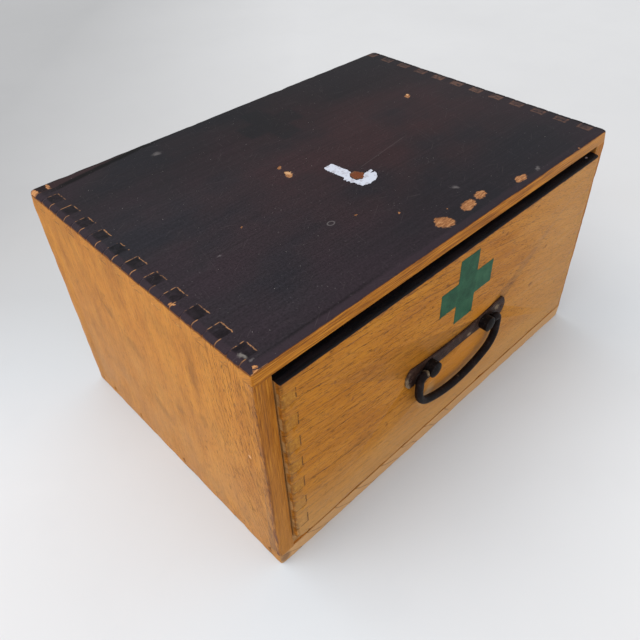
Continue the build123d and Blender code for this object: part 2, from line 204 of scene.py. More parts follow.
class Finish:
    """One material, with helpers that build its pattern in millimetres."""

    def __init__(self, name):
        self.material = bpy.data.materials.new(name)
        self.material.use_nodes = True
        self.tree = self.material.node_tree
        self.surface = self.tree.nodes["Principled BSDF"]
        place = self.tree.nodes.new("ShaderNodeTexCoord")
        self.place = self.scaled(Field(self.tree, place.outputs["Object"]), 1 / MM)
        self.x, self.y, self.z = self.split(self.place)
        normal = self.tree.nodes.new("ShaderNodeNewGeometry")
        self.facing = self.split(Field(self.tree, normal.outputs["Normal"]))

    def vector_math(self, operation, vector):
        node = self.tree.nodes.new("ShaderNodeVectorMath")
        node.operation = operation
        vector.into(node.inputs[0])
        return node

    def scaled(self, vector, factor):
        node = self.vector_math("SCALE", vector)
        feed(node.inputs["Scale"], factor)
        return Field(self.tree, node.outputs[0])

    def split(self, vector):
        node = self.tree.nodes.new("ShaderNodeSeparateXYZ")
        vector.into(node.inputs[0])
        return [Field(self.tree, output) for output in node.outputs]

    def join(self, x, y, z):
        node = self.tree.nodes.new("ShaderNodeCombineXYZ")
        for socket, value in zip(node.inputs, (x, y, z)):
            feed(socket, value)
        return Field(self.tree, node.outputs[0])

    def stretched(self, size, at, seed):
        """A place measured in lumps of the given size, one number or three, for the noise that follows."""
        sizes = size if isinstance(size, tuple) else (size, size, size)
        node = self.tree.nodes.new("ShaderNodeMapping")
        (at or self.place).into(node.inputs["Vector"])
        node.inputs["Location"].default_value = (seed, seed * 0.7, seed * 1.3)
        node.inputs["Scale"].default_value = [1 / s for s in sizes]
        return Field(self.tree, node.outputs[0])

    def noise_texture(self, size, detail, rough, at, seed):
        node = self.tree.nodes.new("ShaderNodeTexNoise")
        self.stretched(size, at, seed).into(node.inputs["Vector"])
        node.inputs["Scale"].default_value = 1.0
        node.inputs["Detail"].default_value = detail
        node.inputs["Roughness"].default_value = rough
        return node

    def cloud(self, size, detail=2.0, rough=0.5, at=None, seed=0.0):
        """Noise from 0 to 1 whose lumps have the given size in millimetres."""
        return Field(self.tree, self.noise_texture(size, detail, rough, at, seed).outputs["Fac"])

    def specks(self, size, share, at=None, seed=0.0, reach=0.16):
        """Small round spots, about one in each cell of the given size, in the given share of the cells."""
        node = self.tree.nodes.new("ShaderNodeTexVoronoi")
        self.stretched(size, at, seed).into(node.inputs["Vector"])
        node.inputs["Scale"].default_value = 1.0
        chance = self.split(Field(self.tree, node.outputs["Color"]))[0]
        spot = Field(self.tree, node.outputs["Distance"]).below(reach, reach / 2)
        return spot * chance.above(1 - share, 0.01)

    def ragged_place(self, amount, size=5.0, at=None):
        """The place pushed about by noise, by about the amount in millimetres, so that outlines waver."""
        node = self.noise_texture(size, 3.0, 0.5, at, 0.0)
        push = 8 * amount
        centred = self.vector_math("MULTIPLY_ADD", Field(self.tree, node.outputs["Color"]))
        centred.inputs[1].default_value = (push, push, push)
        centred.inputs[2].default_value = (-push / 2, -push / 2, -push / 2)
        moved = self.vector_math("ADD", Field(self.tree, centred.outputs[0]))
        (at or self.place).into(moved.inputs[1])
        return Field(self.tree, moved.outputs[0])

    def blot(self, x, y, length, width, turn=0.0, soft=0.15, at=None):
        """An oval patch on the plane of the first two axes of the place given."""
        turned = self.tree.nodes.new("ShaderNodeMapping")
        turned.vector_type = "TEXTURE"
        (at or self.place).into(turned.inputs["Vector"])
        turned.inputs["Location"].default_value = (x, y, 0)
        turned.inputs["Rotation"].default_value = (0, 0, math.radians(turn))
        turned.inputs["Scale"].default_value = (length / 2, width / 2, 1e6)
        reach = self.vector_math("LENGTH", Field(self.tree, turned.outputs[0]))
        return Field(self.tree, reach.outputs["Value"]).below(1.0, soft)

    def blots(self, patches, soft=0.15, at=None):
        """Several oval patches: x, y, length, width and turn of each."""
        return joined([self.blot(*patch, soft=soft, at=at) for patch in patches])

    def mix(self, share, first, second):
        """The first colour where the share is 0, and the second where it is 1."""
        node = self.tree.nodes.new("ShaderNodeMix")
        node.data_type = "RGBA"
        node.clamp_factor = True
        feed(node.inputs["Factor"], share)
        feed(node.inputs["A"], first)
        feed(node.inputs["B"], second)
        return Field(self.tree, node.outputs["Result"])

    def tones(self, field, *stops):
        """A colour for each value of the field, from (value, colour) stops."""
        node = self.tree.nodes.new("ShaderNodeValToRGB")
        field.into(node.inputs["Fac"])
        ramp = node.color_ramp
        while len(ramp.elements) < len(stops):
            ramp.elements.new(0.5)
        for element, (value, colour) in zip(ramp.elements, stops):
            element.position = value
            element.color = colour
        return Field(self.tree, node.outputs["Color"])

    def darken(self, colour, share):
        """The colour with the given share of its light taken away."""
        return self.scaled(colour, 1 - share)

    def tinted(self, colour, tint):
        """The colour seen through a tint: each of its channels multiplied by the tint's."""
        node = self.vector_math("MULTIPLY", colour)
        feed(node.inputs[1], tint)
        return Field(self.tree, node.outputs[0])

    def paint(self, colour, roughness, relief=None, depth=0.1, specular=USUAL_GLOSS):
        """Sends the finished pattern to the shader. The relief is a height in millimetres times depth."""
        feed(self.surface.inputs["Base Color"], colour)
        feed(self.surface.inputs["Roughness"], roughness)
        # The export doesn't keep a pattern linked to this socket, so it has a plain value as well.
        self.surface.inputs["Specular IOR Level"].default_value = SPARE_GLOSS
        feed(self.surface.inputs["Specular IOR Level"], specular)
        if relief is not None:
            bump = self.tree.nodes.new("ShaderNodeBump")
            bump.inputs["Distance"].default_value = depth * MM
            bump.inputs["Strength"].default_value = 1.0
            relief.into(bump.inputs["Height"])
            self.tree.links.new(bump.outputs[0], self.surface.inputs["Normal"])
        return self.material


# ------------------------------------------------------------------ wood
def grain(finish, along, ring, colours, step=8.0, lines=0.8, dashes=0.5):
    """Open-pored wood: thin dark lines where each year's growth began, fine fibres and short pores.

    along runs with the grain, and ring counts millimetres across it. step is the width of a year's
    growth, and lines and dashes say how strong its lines and its pores are.
    Returns the wood's colour and the height of its surface.
    """
    pale, middle, dark, pore = colours
    depth = finish.y if along is not finish.y else finish.x
    flow = finish.join(along, ring, depth)
    sway = finish.cloud((75, 16, 70), 2, at=flow) * 7
    sway = sway + finish.cloud((900, 13, 900), 1, at=flow, seed=4.0) * 10
    grown = ring + sway + finish.cloud((16, 6, 16), 3, 0.6, at=flow, seed=14.0) * 2.6
    start = (grown / step).fract().spread(0.0, 0.11, 1.0, 0.0)
    minor = (grown / (step * 0.381)).fract().spread(0.0, 0.19, 0.6, 0.0)
    start = start.either(minor * finish.cloud((40, 7, 40), 2, at=flow, seed=24.0).above(0.52, 0.06))
    strong = finish.cloud((13, 2.4, 20), 4, 0.65, at=flow, seed=9.0).above(0.49, 0.09)
    fibre = finish.cloud((14, 0.8, 7), 4, 0.7, at=flow)
    broad = finish.cloud((60, 14, 50), 3, 0.6, at=flow, seed=3.1)
    colour = finish.tones(broad * 0.45 + fibre * 0.55, (0.3, dark), (0.5, middle), (0.7, pale))
    pores = finish.cloud((4.6, 0.55, 3.0), 2, 0.5, at=flow, seed=7.7).above(0.61, 0.05)
    mark = (start * (strong * 0.75 + 0.25) * lines).either(pores * (strong * 0.5 + 0.5) * dashes)
    colour = finish.mix(mark, colour, pore)
    return colour, fibre * 0.3 - mark * 0.8


CASE_WOOD = (shade(216, 154, 78), shade(202, 134, 60), shade(170, 104, 42), shade(70, 36, 14))
FRONT_WOOD = (shade(204, 138, 54), shade(188, 120, 40), shade(158, 92, 26), shade(54, 26, 6))
BARE_WOOD = (shade(212, 168, 112), shade(194, 146, 90), shade(166, 118, 68), shade(104, 68, 38))
WORN_WOOD = shade(200, 142, 90)
CHIP_TONES = ((0.34, shade(112, 70, 42)), (0.5, shade(150, 98, 56)), (0.64, shade(186, 136, 92)))
RUST_STAIN = shade(108, 54, 22)

# ------------------------------------------------------------------ lacquer
LACQUER_BLUE = shade(39, 38, 44)
LACQUER_MIDDLE = shade(45, 40, 45)
LACQUER_PURPLE = shade(48, 40, 46)
LACQUER_RED = shade(60, 42, 45)
LACQUER_BAND = shade(56, 45, 52)

CHIPS = (
    # x, y, length, width, turn
    (-39.0, 6.5, 9.0, 5.6, 68.0), (-37.0, 18.0, 4.4, 3.2, 60.0), (121.0, 31.0, 9.0, 3.6, 42.0),
    (-10.0, -112.0, 13.0, 11.0, -35.0), (-12.0, -106.5, 6.0, 2.4, 10.0),
    (17.0, -111.0, 15.0, 8.0, 10.0), (33.0, -109.0, 11.0, 7.0, 12.0), (70.0, -117.0, 12.0, 6.0, 5.0),
    (-104.0, -22.0, 1.5, 1.1, 30.0), (-22.0, -84.0, 1.4, 1.1, 0.0), (-43.0, -65.0, 1.8, 1.0, 40.0),
    (3.0, -104.0, 1.8, 1.2, 0.0), (137.0, -124.0, 3.0, 1.4, 0.0),
)
BRIGHT_CHIPS = ((-38.0, 8.0, 5.5, 5.0, 60.0), (122.5, 32.5, 4.0, 2.0, 42.0))
RUST_SPOT = (-5.8, -30.5, 9.5, 10.5, 0.0)
BARE_CORNERS = (
    (-178.8, 119.0, 5.0, 8.0, 0.0), (-168.2, 118.5, 1.8, 7.0, 0.0), (-175.0, -122.6, 2.4, 2.0, 0.0),
    (-178.0, -125.2, 4.6, 2.6, 0.0), (-177.5, -52.5, 2.2, 4.0, 0.0),
)
GREY_SMEARS = (
    (29.0, -91.0, 6.0, 2.6, -40.0), (90.0, -118.0, 6.0, 2.0, 30.0), (-88.0, 103.0, 7.0, 4.0, 0.0),
    (-132.0, -36.0, 2.6, 1.6, 0.0), (-172.5, -118.0, 2.4, 2.0, 0.0),
)
CORNER_SMEAR = (-174.5, -112.0, 2.4, 4.6, 25.0)
OLD_CROSS = (5.0, 78.0, 10.5, 28.0)


def side_finger(finish):
    """Where a side board's finger comes up through the top: 1 on it, and its share of the way along Y."""
    half = ((finish.y - CASE_FRONT) / FINGER / 2).fract()
    return half.above(0.5, 0.004), half


def finger_outlines(finish, on_left):
    """The pale outlines of the side boards' fingers in the top, and the worn ticks on its left arris."""
    half = side_finger(finish)[1]
    rough_x = finish.split(finish.ragged_place(0.26, 1.6))[0]
    inner_end = abs(rough_x).near(CASE_X - WALL - 0.4, 0.3, 0.22) * half.above(0.47, 0.02)
    rear_side = half.near(0.018, 0.014, 0.012) * abs(finish.x).between(CASE_X - WALL, CASE_X - 4.6, 0.8)
    broken = finish.cloud((5, 5, 5), 3, 0.6, seed=9.0).above(0.47, 0.06)
    fainter = finish.cloud((14, 14, 14), 2, 0.5, seed=19.0).spread(0.35, 0.6, 0.4, 1.0)
    ticks = half.near(0.498, 0.014, 0.014) * finish.x.below(-CASE_X + 5.2, 0.8)
    ticks = ticks * finish.cloud((9, 11, 9), 2, seed=6.0).spread(0.35, 0.6, 0.2, 0.9)
    return inner_end.either(rear_side) * broken * fainter * (on_left * 0.8 + 0.15), ticks


def scratches(finish, turn, seed, share=0.72):
    """Thin straight scratches that run at an angle over the top."""
    c, s = math.cos(math.radians(turn)), math.sin(math.radians(turn))
    along = finish.x * c + finish.y * s
    across = finish.y * c - finish.x * s
    turned = finish.join(along, across, 0.0)
    return finish.cloud((26, 0.5, 20), 2, 0.5, at=turned, seed=seed).above(share, 0.02)


def old_cross(finish):
    """A cross that was once painted on the top and now shows faintly through the lacquer."""
    middle_x, middle_y, arm, reach = OLD_CROSS
    wavy_x, wavy_y = finish.split(finish.ragged_place(0.8, 9.0))[:2]
    across = abs(wavy_x - middle_x)
    along = abs(wavy_y - middle_y)
    upright = across.below(arm, 2.4) * along.below(reach, 2.4)
    return upright.either(along.below(arm, 2.4) * across.below(reach, 2.4))


def lacquered(finish, wood, wood_relief):
    """Adds the top's brown-black lacquer, with its chips, worn joints and dusty wear, over a board's wood.

    Returns the colour, roughness, relief and specular level.
    """
    x, y, z = finish.x, finish.y, finish.z
    turn_x, turn_y, turn_z = finish.facing
    on_left = x.below(0, 1)

    # The lacquer stops just past the front arris, further down the left one, and goes round the other two.
    past_right = turn_x.above(0.12, 0.06) * x.above(CASE_X - 8, 0.5)
    past_back = turn_y.above(0.12, 0.06) * y.above(CASE_BACK - 8, 0.5)
    past_left = turn_x.below(-0.12, 0.06) * turn_z.above(0.08, 0.05) * x.below(-CASE_X + 8, 0.5)
    reach = past_right.either(past_back) * 0.5 + past_left * 0.32
    brushed = finish.cloud((5, 7, 4), 4, 0.65, seed=8.8) * 0.5 - 0.25
    cover = (turn_z + reach + brushed) * z.above(CASE_TOP - 4, 0.1)
    film = cover.above(0.8, 0.04)
    red_edge = cover.above(0.5, 0.14)

    broad = finish.cloud((75, 60, 60), 3, 0.55, seed=2.0)
    colour = finish.tones(broad, (0.36, LACQUER_BLUE), (0.5, LACQUER_MIDDLE), (0.62, LACQUER_PURPLE))
    warm = finish.blot(45, 2, 250, 150, 12, soft=0.8, at=finish.ragged_place(3.5, 40.0))
    colour = finish.mix(warm * broad.spread(0.3, 0.6, 0.2, 0.95), colour, LACQUER_RED)
    cool = finish.blots(((120, 95, 130, 70, 0), (70, -95, 230, 50, 0)), soft=0.6)
    colour = finish.mix(cool * 0.6, colour, LACQUER_BLUE)
    colour = finish.mix(old_cross(finish) * 0.5, colour, shade(30, 35, 40))
    # Painted shade: the lacquer is made darker towards the right and towards the back.
    colour = finish.scaled(colour, x.spread(-150, 0, 1.0, 0.72) * y.spread(30, 75, 1.0, 0.78))
    mottle = finish.cloud(1.6, 4, 0.72, seed=1.1)
    colour = finish.scaled(colour, mottle.spread(0.3, 0.7, 0.62, 1.38))
    brush = finish.cloud((80, 1.1, 20), 3, 0.6, seed=5.0)
    colour = finish.scaled(colour, brush.spread(0.3, 0.7, 0.84, 1.14))

    # Rubbed bands along the left and front arrises, and dark strokes near the front and back ones.
    wavy_x, wavy_y = finish.split(finish.ragged_place(0.45, 4.5))[:2]
    front_band = wavy_y.below(CASE_FRONT + 6.0, 1.6) * x.spread(-80, 150, 1.0, 0.4)
    band = wavy_x.below(-CASE_X + 5.0, 0.7).either(front_band)
    colour = finish.mix(band * 0.55, colour, LACQUER_BAND)
    front_stroke = (y + brushed * 5).near(CASE_FRONT + 7.0, 0.8, 1.2) * x.between(-165, -85, 22)
    back_line = (y + brushed * 6) - (x + 165).spread(0, 75, 0.0, 9.0)
    back_stroke = back_line.near(112, 2.4, 1.2) * x.between(-168, -80, 14)
    colour = finish.mix(back_line.above(114, 1.5) * x.below(-95, 40) * 0.6, colour, shade(52, 34, 34))
    behind = y.above(CASE_BACK - 3.4, 0.8) * x.below(-20, 60)
    colour = finish.darken(colour, joined([front_stroke * 0.5, back_stroke * 0.8, behind * 0.75]))

    # The side boards' fingers: blackest on the left, rubbed down to brown on the right.
    on_finger, half = side_finger(finish)
    inner = abs(x).between(CASE_X - WALL, CASE_X - 4.0, 0.6) * on_finger
    blackness = finish.cloud(6, 3, seed=4.1).spread(0.3, 0.6, 0.15, 0.6)
    colour = finish.darken(colour, inner * on_left * blackness)
    rubbed = finish.cloud((3.2, 5.0, 3.2), 4, 0.65, seed=4.4).above(0.47, 0.12)
    most = y.between(-32, 46, 8) * 0.35 + 0.32
    pin = inner * x.between(CASE_X - WALL, CASE_X - 5.6, 0.8)
    colour = finish.mix(pin * rubbed * most, colour, shade(110, 82, 70))
    rim = half.near(0.52, 0.05, 0.03).either(half.above(0.95, 0.03))
    rim = rim.either(x.near(CASE_X - WALL + 0.4, 0.8, 0.5))
    rim = rim * half.above(0.47, 0.02) * x.between(CASE_X - WALL - 1, CASE_X - 5.5, 0.6)
    colour = finish.mix(rim * rubbed.either(0.35) * 0.6, colour, shade(104, 74, 62))
    colour = finish.darken(colour, x.above(CASE_X - 5.0, 0.8) * 0.5)

    # Fine scratches, dust and dull smears.
    streaks = scratches(finish, 32, 3.0) * 0.22
    streaks = streaks + scratches(finish, -24, 5.0) * 0.16 + scratches(finish, 78, 8.0) * 0.14
    long_scratch = (y + 24 - (x - 6) * 0.14).near(0, 0.35, 0.3) * x.between(4, 62, 6)
    colour = finish.mix(streaks.either(long_scratch * 0.16), colour, shade(112, 104, 104))
    grey_wear = finish.specks((1.9, 2.3, 1.9), 0.10, seed=11.0)
    dusty = finish.cloud(30, 3, seed=8.0).spread(0.38, 0.66, 0.04, 0.34)
    colour = finish.mix(grey_wear * dusty, colour, shade(130, 126, 126))
    chip_place = finish.ragged_place(0.3, 1.5, at=finish.ragged_place(0.6, 4.5))
    outlines, ticks = finger_outlines(finish, on_left)
    colour = finish.mix(outlines, colour, shade(176, 128, 86))
    colour = finish.mix(ticks, colour, shade(204, 148, 98))
    ring_size = finish.vector_math("LENGTH", finish.join(x + 61, (y + 60) * 1.3, 0.0))
    ring = Field(finish.tree, ring_size.outputs["Value"]).near(2.6, 0.45, 0.35)
    smears = finish.blots(GREY_SMEARS, soft=0.7, at=chip_place).either(ring)
    colour = finish.mix(smears * 0.34, colour, shade(138, 132, 132))
    corner_smear = finish.blot(*CORNER_SMEAR, soft=0.7, at=chip_place)
    colour = finish.mix(corner_smear * 0.35, colour, shade(180, 174, 166))

    # Bare wood where the lacquer has chipped off.
    splinter = finish.cloud((5, 0.8, 5), 4, 0.65, seed=12.0)
    chip_wood = finish.tones(splinter, *CHIP_TONES)
    bright = finish.blots(BRIGHT_CHIPS, soft=0.5, at=chip_place)
    chip_wood = finish.mix(bright * 0.7, chip_wood, shade(222, 176, 128))
    bare = finish.blots(BARE_CORNERS, soft=0.2, at=chip_place)
    corner_wood = finish.mix(splinter.above(0.55, 0.1), WORN_WOOD, shade(140, 88, 52))
    chip_wood = finish.mix(bare, chip_wood, corner_wood)
    rust = finish.blot(*RUST_SPOT, soft=0.2, at=chip_place)
    chip_wood = finish.mix(rust, chip_wood, RUST_STAIN)
    gone = finish.blots(CHIPS, soft=0.14, at=chip_place).either(bare).either(rust)
    colour = finish.mix(gone, colour, chip_wood)

    board = finish.mix(red_edge * 0.8, wood, shade(84, 44, 32))
    colour = finish.mix(film, board, colour)
    lifted = film * (1 - gone)
    relief = lifted * 1.1 + brush * film * 0.25 + mottle * film * 0.25 + wood_relief * (1 - lifted)
    rough = film * mottle.spread(0.3, 0.7, 0.42, 0.62) + (1 - film) * 0.48
    return colour, rough, relief, lifted * (LACQUER_GLOSS - USUAL_GLOSS) + USUAL_GLOSS


# ------------------------------------------------------------------ case
LEFT_BLOTCHES = (
    # y, z, length, width, turn
    (-29, 87, 12, 8, 60), (18, 112, 20, 12, 40), (-62, 150, 10, 40, 4), (45, 131, 14, 8, 30),
    (2, 62, 24, 12, 40), (-92, 77, 7, 4, 0), (-62, 102, 8, 12, 0), (66, 188, 6, 3, 30),
)


def outer_marks(finish, wood):
    """What shows on the case's outer sides: joints, cracks, stains and a few old dents."""
    x, y, z = finish.x, finish.y, finish.z
    outside = abs(finish.facing[0]).above(0.6, 0.1) * abs(x).above(CASE_X - 2, 0.3)
    on_finger, half = side_finger(finish)
    broken = finish.cloud((4, 4.5, 1.2), 3, 0.6, seed=31.0)
    wavy_base = z + finish.cloud(3, 2, seed=33.0) * 1.6
    base_line = wavy_base.near(CASE_TOP - BOARD + 0.8, 0.5, 0.3) * (1 - on_finger)
    base_line = base_line * half.below(0.34, 0.08) * broken.above(0.4, 0.06)
    cracks = half.near(0.5, 0.016, 0.012).either(half.below(0.016, 0.01)) * z.above(CASE_TOP - BOARD, 0.5)
    low_ticks = half.near(0.5, 0.022, 0.014) * z.below(BOARD + 1, 1.5)
    dark = base_line * 0.5 + cracks * broken.above(0.5, 0.08) * 0.25
    dark = dark + low_ticks * broken.above(0.45, 0.1) * 0.6
    wood = finish.mix(dark * outside, wood, shade(62, 32, 18))
    glints = (z + finish.cloud(2, 3, seed=37.0) * 3).near(CASE_TOP - BOARD + 1.5, 0.6, 0.4) * (1 - on_finger)
    glints = glints * broken.above(0.57, 0.04) * y.between(-70, 20, 8)
    wood = finish.mix(glints * outside * 0.7, wood, shade(236, 188, 132))

    # The faces' own stains, in the plane of Y and Z, and a tint by height: yellower towards the top, greyer and
    # a little darker towards the bottom.
    flat = finish.ragged_place(1.0, 9.0, at=finish.join(y, z, 0.0))
    spots = finish.blots(LEFT_BLOTCHES, soft=0.7, at=flat)
    wood = finish.darken(wood, spots * outside * 0.26)
    cloudy = finish.cloud((40, 16, 24), 4, 0.65, seed=21.0).above(0.54, 0.12)
    wood = finish.darken(wood, cloudy * outside * 0.16)
    greyer = finish.cloud((60, 26, 34), 3, 0.5, seed=25.0).spread(0.35, 0.65) * z.spread(20, 130, 1.0, 0.15)
    wood = finish.mix(greyer * outside * 0.45, wood, shade(188, 136, 88))
    tint = finish.mix(z.spread(50, 150), (0.93, 0.95, 0.88, 1.0), (0.98, 0.93, 0.52, 1.0))
    wood = finish.tinted(wood, finish.mix(outside, (1.0, 1.0, 1.0, 1.0), tint))
    wood = finish.mix(finish.blot(-110, 113, 3.0, 2.6, 0, at=flat) * outside, wood, shade(226, 176, 128))
    return wood


def side_wall_finish():
    """The case's side boards: grain from top to bottom, leaning forwards near the front."""
    finish = Finish("varnished side boards")
    x, y, z = finish.x, finish.y, finish.z
    turn_x, turn_y = finish.facing[:2]
    lean = (185 - z).math("MAXIMUM", 0.0) ** 1.5 * 0.0139
    ring = y + lean * y.spread(-100, -45, 1.0, -0.2) + x * 0.9
    near_front = y.below(-84, 18)
    wood, relief = grain(finish, z, ring, CASE_WOOD, 4.6, near_front * 0.85 + 0.25, near_front * 0.5 + 0.45)
    wood = outer_marks(finish, wood)

    # Dark red-brown dirt beside the front arris, and bruises at its top, on the outer face only.
    beside = abs(turn_x).above(0.6, 0.2) * y.below(CASE_FRONT + 4.6, 2.4) * abs(x).above(CASE_X - 3, 0.5)
    dirty = finish.cloud((6, 3, 14), 4, 0.65, seed=13.0).above(0.46, 0.1)
    dirt = beside * dirty * z.spread(20, 150, 0.9, 0.4)
    wood = finish.mix(dirt, wood, shade(92, 50, 40))
    bruised = beside * z.above(184, 3) * finish.cloud(2.5, 4, 0.6, seed=14.0).above(0.5, 0.08)
    wood = finish.mix(bruised * 0.7, wood, shade(230, 172, 118))

    # The front edges carry a darker, redder varnish, with a painted highlight on the inner arris.
    front_edge = turn_y.below(-0.55, 0.15) * y.below(CASE_FRONT + 3, 0.3)
    streaks = finish.cloud((0.8, 8, 30), 4, 0.7, seed=15.0)
    edge_wood = finish.tones(
        streaks, (0.34, shade(118, 66, 14)), (0.5, shade(164, 98, 18)), (0.64, shade(190, 126, 40))
    )
    edge_wood = finish.mix(z.spread(0, 140, 0.6, 0.0), edge_wood, shade(184, 126, 56))
    wood = finish.mix(front_edge * 0.85, wood, edge_wood)
    rounding = abs(turn_x).between(0.3, 0.94, 0.06) * turn_y.between(-0.94, -0.3, 0.06)
    # Painted highlight on the rounded inner arris.
    wood = finish.mix(rounding * abs(x).below(CASE_X - 8, 1) * 0.5, wood, shade(206, 170, 124))
    cracked = finish.cloud((2, 2, 22), 3, 0.6, seed=16.0).above(0.5, 0.06)
    crack = rounding * abs(x).above(CASE_X - 4, 0.5) * cracked
    wood = finish.mix(crack * 0.55, wood, shade(92, 50, 30))
    inside = abs(x).below(CASE_X - WALL + 0.3, 0.1) * y.above(CASE_FRONT + 2, 1)
    wood = finish.mix(inside * 0.7, wood, BARE_WOOD[2])
    colour, rough, relief, specular = lacquered(finish, wood, relief)
    return finish.paint(colour, rough, relief, BOARD_RELIEF, specular)


def long_board_finish(name, low_board=False):
    """The case's top and bottom boards, with grain from left to right."""
    finish = Finish(name)
    x, y, z = finish.x, finish.y, finish.z
    turn_y, turn_z = finish.facing[1:]
    wood, relief = grain(finish, x, y + z * 1.4, CASE_WOOD, 5.0, 0.6, 0.45)
    front_edge = turn_y.below(-0.55, 0.15) * y.below(CASE_FRONT + 3, 0.3)
    if low_board:
        slant = (x * 0.9 + z * 1.6 + finish.cloud((40, 9, 9), 2, seed=3.0) * 14) / 23
        wood = finish.mix(front_edge * 0.65, wood, shade(212, 172, 124))
        growth_lines = front_edge * slant.fract().below(0.07, 0.04) * x.below(10, 20)
        wood = finish.mix(growth_lines * 0.5, wood, shade(104, 62, 34))
        stain = finish.blot(-176, 6, 9, 9, 0, soft=0.5, at=finish.join(x, z, 0.0)) * front_edge
        wood = finish.mix(stain * 0.6, wood, shade(78, 40, 34))
    else:
        streaks = finish.cloud((34, 8, 0.9), 4, 0.7, seed=15.0)
        edge_wood = finish.tones(
            streaks, (0.37, shade(104, 54, 10)), (0.5, shade(172, 104, 20)), (0.62, shade(204, 134, 40))
        )
        edge_wood = finish.mix(x.spread(70, 180, 0.0, 0.5), edge_wood, shade(196, 146, 88))
        wood = finish.mix(front_edge * 0.9, wood, edge_wood)
    # Painted highlight: a pale line along the top board's lower front arris, strongest at the left.
    under = turn_z.between(-0.94, -0.3, 0.06) * turn_y.between(-0.94, -0.3, 0.06)
    under = under * z.above(CASE_TOP - BOARD - 2, 0.5) * abs(x).below(CASE_X - WALL, 0.3)
    wood = finish.mix(under * x.spread(-170, 60, 0.8, 0.2), wood, shade(226, 198, 156))
    wood = outer_marks(finish, wood)
    colour, rough, relief, specular = lacquered(finish, wood, relief)
    return finish.paint(colour, rough, relief, BOARD_RELIEF, specular)


# ------------------------------------------------------------------ drawer
AMBER_PATCHES = (
    # x, z, length, width, turn: the varnish that hands never reached, round and inside the pull
    (-46, 107, 22, 9, -12), (24, 108, 26, 12, -28), (-50, 82, 7, 20, 20), (33, 80, 12, 24, -20),
    (0, 66, 62, 12, 0), (-24, 76, 14, 14, 0), (8, 78, 50, 20, 0),
)
RUBBED_PATCHES = ((-35, 62, 18, 10, 50), (48, 74, 10, 12, 50), (54, 70, 6, 16, 0))
FACE_SPOTS = (
    # x, z, length, width, turn: small dark knots and dents
    (-127, 151, 2.4, 2.2, 0), (81, 173, 3.4, 2.4, 0), (108, 123, 4, 3, 0), (42, 169, 3, 2.4, 0),
    (-24, 162, 3, 1.6, 0), (96, 91, 6, 3.4, 0), (-79, 67, 3, 3, 0), (-113, 124, 3, 2, 30),
    (62, 112, 5, 2, -20), (-88, 120, 4, 2, 0),
)


def face_grain(finish):
    """The drawer front's grain, which falls to the right."""
    x = finish.x
    fall = (x + 165) * 0.12 + (x + 60).math("MAXIMUM", 0.0) ** 2 * 0.0005
    low_right = (x + (150 - finish.z) * 0.6).spread(-10, 90, steep=True)
    return grain(finish, x, finish.z + fall + finish.y * 0.8, FRONT_WOOD, 7.0, 1.0 - low_right * 0.5, 0.75)


